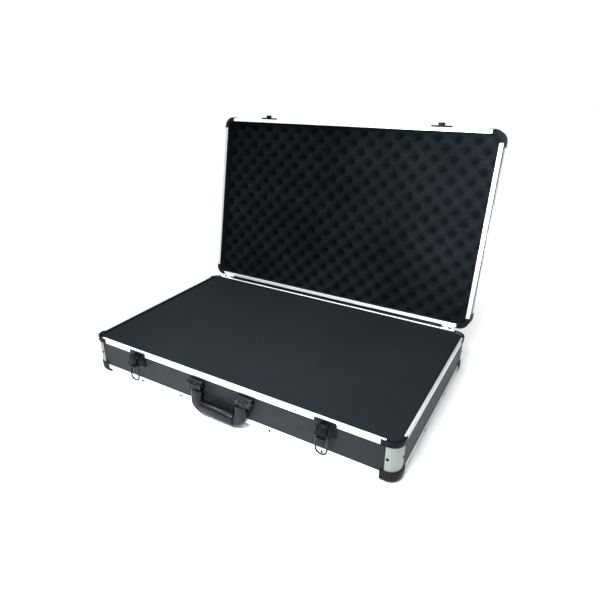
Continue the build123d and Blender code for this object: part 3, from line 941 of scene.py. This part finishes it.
@dataclass
class RivetSet:
    """Rivets of one size, set by a rule of places and made as one mesh for each body."""

    name: str
    radius: float
    height: float
    sides: int = 16
    dome_power: float = 2.5
    dome_drop: float = 0.7
    dimple_share: float = 0.3
    dimple_depth: float = 0.3
    root_share: float = 0.3
    crease: float = 50.0
    places: dict[str, list[tuple[Vector, Vector]]] = field(default_factory=dict)

    def add(self, body: str, spot: Triple, facing: Triple) -> None:
        """Notes one rivet.

        Args:
            body: The body that it rides on.
            spot: Its place in millimetres, with the lid closed for the lid's rivets.
            facing: The direction that its head faces.
        """
        where, way = Vector(spot) * MM, Vector(facing).normalized()
        if body == "lid":
            move = LID.opened()
            where, way = move @ where, (move.to_3x3() @ way).normalized()
        self.places.setdefault(body, []).append((where, way))

    def tree(self) -> GeometryTree:
        """A domed head with a dimple, put on each point and turned to face its way."""
        tree = GeometryTree(
            self.name, {"Radius": self.radius * MM, "Height": self.height * MM, "Sides": self.sides}
        )
        head = tree.node("GeometryNodeMeshCylinder", fill_type="TRIANGLE_FAN")
        head.inputs["Fill Segments"].default_value = 5
        tree.link(tree.size("Sides"), head.inputs["Vertices"])
        tree.link(tree.size("Radius"), head.inputs["Radius"])
        tree.link(tree.size("Height"), head.inputs["Depth"])
        x, y, z = tree.place()
        squares = (tree.math("MULTIPLY", value, value) for value in (x, y))
        across = tree.math("SQRT", tree.math("ADD", *squares))
        share = tree.math("DIVIDE", across, tree.size("Radius"))
        drop = tree.math("MULTIPLY", tree.math("POWER", share, self.dome_power), self.dome_drop)
        dome = tree.math("SUBTRACT", 1.0, drop)
        inside = tree.math("LESS_THAN", share, self.dimple_share)
        pit = tree.math("MULTIPLY", inside, self.dimple_depth)
        crown = tree.math("MULTIPLY", tree.math("SUBTRACT", dome, pit), tree.size("Height"))
        upper = tree.math("GREATER_THAN", z, 0.0)
        lower = tree.math("MULTIPLY", tree.math("SUBTRACT", 1.0, upper), -self.root_share)
        foot = tree.math("MULTIPLY", lower, tree.size("Height"))
        level = tree.math("MULTIPLY_ADD", upper, crown, foot)
        shape = tree.moved(head.outputs["Mesh"], x, y, level)
        facing = tree.node("GeometryNodeInputNamedAttribute", data_type="FLOAT_VECTOR")
        facing.inputs["Name"].default_value = "facing"
        turn = tree.node("FunctionNodeAlignRotationToVector", axis="Z")
        tree.link(facing.outputs["Attribute"], turn.inputs["Vector"])
        spread = tree.node("GeometryNodeInstanceOnPoints")
        tree.link(tree.source.outputs["Geometry"], spread.inputs["Points"])
        tree.link(shape, spread.inputs["Instance"])
        tree.link(turn.outputs[0], spread.inputs["Rotation"])
        tree.finish(spread.outputs[0])
        return tree

    def build(self, finish: bpy.types.Material, slot: str) -> None:
        """Makes one mesh of rivets for each body."""
        for body, spots in self.places.items():
            points = bpy.data.meshes.new("rivet places")
            points.from_pydata([spot for spot, _ in spots], [], [])
            facing = points.attributes.new("facing", "FLOAT_VECTOR", "POINT")
            for index, (_, way) in enumerate(spots):
                facing.data[index].vector = way
            piece = self.tree().grow(f"{self.name}_{body}", points, finish)
            piece.data.set_sharp_from_angle(angle=math.radians(self.crease))
            hold(piece, (), body)


@dataclass
class Fixings(SubAssembly):
    """Every rivet. Heights are given for each body, with the lid closed."""

    half_x: float = 335.0
    half_y: float = 202.5
    band_heights: tuple[tuple[str, float], ...] = (("base", 12.0), ("lid", 114.4))
    front_pitch: float = 102.5
    front_reach: int = 2
    side_places: Span = (-62.0, 62.0)
    post_x: float = 316.0
    post_y: float = 183.5
    post_heights: tuple[tuple[str, float], ...] = (("base", 46.0), ("lid", 101.0))
    latch_x: float = 210.0
    latch_side: float = 16.0
    latch_proud: float = 0.3
    latch_heights: tuple[tuple[str, float], ...] = (("base", 62.0), ("base", 52.0), ("lid", 102.0))
    hinge_pitch: float = 66.0
    hinge_reach: int = 4
    hinge_proud: float = 1.2
    hinge_heights: tuple[tuple[str, float], ...] = (("base", 74.0), ("lid", 88.4))

    def build(self) -> None:
        """Makes the large rivets and the small ones."""
        for rivets in (self.edge_rivets(), self.hardware_rivets()):
            rivets.build(self.finishes.rivet, "latch_metal")

    def edge_rivets(self) -> RivetSet:
        """The rivets along both edge bands and on the corner posts."""
        rivets = RivetSet("edge_rivets", 2.7, 0.9)
        for body, band in self.band_heights:
            for step in range(-self.front_reach, self.front_reach + 1):
                for way in SIGNS:
                    spot = (step * self.front_pitch, way * self.half_y, band)
                    rivets.add(body, spot, (0, way, 0))
            for place in self.side_places:
                for way in SIGNS:
                    rivets.add(body, (way * self.half_x, place, band), (way, 0, 0))
        for corner in Corner:
            sx, sy = corner.value
            for body, height in self.post_heights:
                rivets.add(body, (sx * self.post_x, sy * self.half_y, height), (0, sy, 0))
                rivets.add(body, (sx * self.half_x, sy * self.post_y, height), (sx, 0, 0))
        return rivets

    def hardware_rivets(self) -> RivetSet:
        """The small rivets of the latches, strikes and hinge feet."""
        rivets = RivetSet("hardware_rivets", 1.7, 0.7, 12)
        for sign in SIGNS:
            for side in SIGNS:
                x = sign * self.latch_x + side * self.latch_side
                for body, height in self.latch_heights:
                    rivets.add(body, (x, -self.half_y - self.latch_proud, height), (0, -1, 0))
        for step in range(-self.hinge_reach, self.hinge_reach + 1):
            for body, height in self.hinge_heights:
                spot = (step * self.hinge_pitch, self.half_y + self.hinge_proud, height)
                rivets.add(body, spot, (0, 1, 0))
        return rivets


@dataclass
class FlightCase:
    """The whole case, as its sub-assemblies in the order that they are made."""

    kinds: tuple[type[SubAssembly], ...] = (
        Walls, Corners, CaseHinge, CarryHandle, DrawLatches, CaseFoam, Fixings
    )

    def build(self) -> None:
        """Makes the finishes, then each sub-assembly."""
        finishes = Finishes()
        for kind in self.kinds:
            log.info("building %s", kind.__name__)
            kind(finishes).build()


@dataclass(frozen=True)
class Softbox:
    """A soft rectangular light that the camera doesn't see. Lengths in metres."""

    name: str
    place: Triple
    aim: Triple
    size: Span
    power: float
    spread: float = 180.0
    colour: Triple = (0.88, 0.95, 1.0)

    def build(self) -> None:
        """Puts the light in the scene, with its width level along the case's front."""
        data = bpy.data.lights.new(self.name, "AREA")
        data.shape = "RECTANGLE"
        data.size, data.size_y = self.size
        data.energy = self.power
        data.color = self.colour
        data.spread = math.radians(self.spread)
        light = bpy.data.objects.new(self.name, data)
        light.visible_camera = False
        bpy.context.scene.collection.objects.link(light)
        light.location = self.place
        back = (Vector(self.place) - Vector(self.aim)).normalized()
        across = Vector((1, 0, 0)) - back * back.x
        across.normalize()
        turn = Matrix((across, back.cross(across), back)).transposed()
        light.rotation_euler = turn.to_euler()


@dataclass
class Studio:
    """Floor, light and camera. Lengths in metres, angles in degrees."""

    position: Triple = (0.48979, -0.78213, 0.58031)
    azimuth: float = 31.277
    elevation: float = 24.050
    roll: float = -0.341
    lens: float = 29.756
    sensor: float = 36.0
    shift: Span = (0.0235, -0.00637)
    floor_reach: float = 14.0
    floor_tints: Span = (0.965, 0.985)
    backdrop_shown: float = 1.1
    backdrop_left: float = 0.95
    backdrop_right: float = 0.15
    ceiling_strength: float = 1.6
    ceiling_angle: float = 100.0
    softboxes: tuple[Softbox, ...] = (
        Softbox("key", (-0.86, -0.31, 1.39), (0.0, -0.2, 0.05), (0.4, 0.36), 13.0),
        Softbox("fill", (0.10, -0.76, 0.78), (0.08, -0.16, 0.1), (0.5, 0.3), 4.5, 80.0),
        Softbox("lid light", (0.36, -0.45, 0.48), (0.44, 0.26, 0.44), (0.3, 0.3), 4.0, 66.0),
    )

    def camera(self) -> None:
        """A camera at the photograph's viewing angle."""
        data = bpy.data.cameras.new("camera")
        data.lens = self.lens
        data.sensor_width = self.sensor
        data.sensor_fit = "HORIZONTAL"
        data.shift_x, data.shift_y = self.shift
        data.clip_start = 0.01
        camera = bpy.data.objects.new("camera", data)
        bpy.context.scene.collection.objects.link(camera)
        az, el, roll = map(math.radians, (self.azimuth, self.elevation, self.roll))
        back = Vector((math.sin(az) * math.cos(el), -math.cos(az) * math.cos(el), math.sin(el)))
        across = Vector((0, 0, 1)).cross(back).normalized()
        up = back.cross(across)
        right = across * math.cos(roll) + up * math.sin(roll)
        top = up * math.cos(roll) - across * math.sin(roll)
        turn = Matrix((right, top, back)).transposed().to_4x4()
        camera.matrix_world = Matrix.Translation(self.position) @ turn
        bpy.context.scene.camera = camera

    def floor(self) -> None:
        """A plain pale floor."""
        mesh = bpy.data.meshes.new("floor")
        signs = ((-1, -1), (1, -1), (1, 1), (-1, 1))
        corners = [(x * self.floor_reach, y * self.floor_reach, 0) for x, y in signs]
        mesh.from_pydata(corners, [], [(0, 1, 2, 3)])
        tree = ShaderTree("pale floor")
        tree.tint(tree.noise(3.0), *((level,) * 3 for level in self.floor_tints))
        tree.fix(Roughness=0.9, Specular_IOR_Level=0.1)
        mesh.materials.append(tree.material)
        new_object("floor", mesh)

    def ceiling(self) -> None:
        """A wide even light from straight above, like a lit ceiling."""
        data = bpy.data.lights.new("ceiling", "SUN")
        data.energy = self.ceiling_strength
        data.angle = math.radians(self.ceiling_angle)
        bpy.context.scene.collection.objects.link(bpy.data.objects.new("ceiling", data))

    def backdrop(self) -> None:
        """A white backdrop that lights the case less, from left to right, than it shows."""
        world = bpy.data.worlds.new("studio")
        world.use_nodes = True
        tree = Tree(world.node_tree)
        background = world.node_tree.nodes["Background"]
        parts = tree.node("ShaderNodeSeparateXYZ")
        tree.link(tree.node("ShaderNodeTexCoord").outputs["Generated"], parts.inputs[0])
        lit, level = tree.node("ShaderNodeMapRange"), tree.node("ShaderNodeMapRange")
        levels = (-1.0, 1.0, self.backdrop_left, self.backdrop_right)
        for index, number in enumerate(levels, 1):
            lit.inputs[index].default_value = number
        tree.link(parts.outputs["X"], lit.inputs[0])
        tree.link(tree.node("ShaderNodeLightPath").outputs["Is Camera Ray"], level.inputs[0])
        tree.link(lit.outputs["Result"], level.inputs["To Min"])
        level.inputs["To Max"].default_value = self.backdrop_shown
        tree.link(level.outputs["Result"], background.inputs["Strength"])
        background.inputs["Color"].default_value = (1.0, 1.0, 1.0, 1.0)
        bpy.context.scene.world = world

    def light(self) -> None:
        """The backdrop, the ceiling and the softboxes."""
        bpy.context.scene.view_settings.view_transform = "Standard"
        self.backdrop()
        self.ceiling()
        for softbox in self.softboxes:
            softbox.build()


def main() -> None:
    """Builds the case, then the studio."""
    logging.basicConfig(level=logging.INFO, format="%(message)s")
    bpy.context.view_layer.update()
    FlightCase().build()
    studio = Studio()
    studio.floor()
    studio.light()
    studio.camera()


if __name__ == "__main__":
    main()
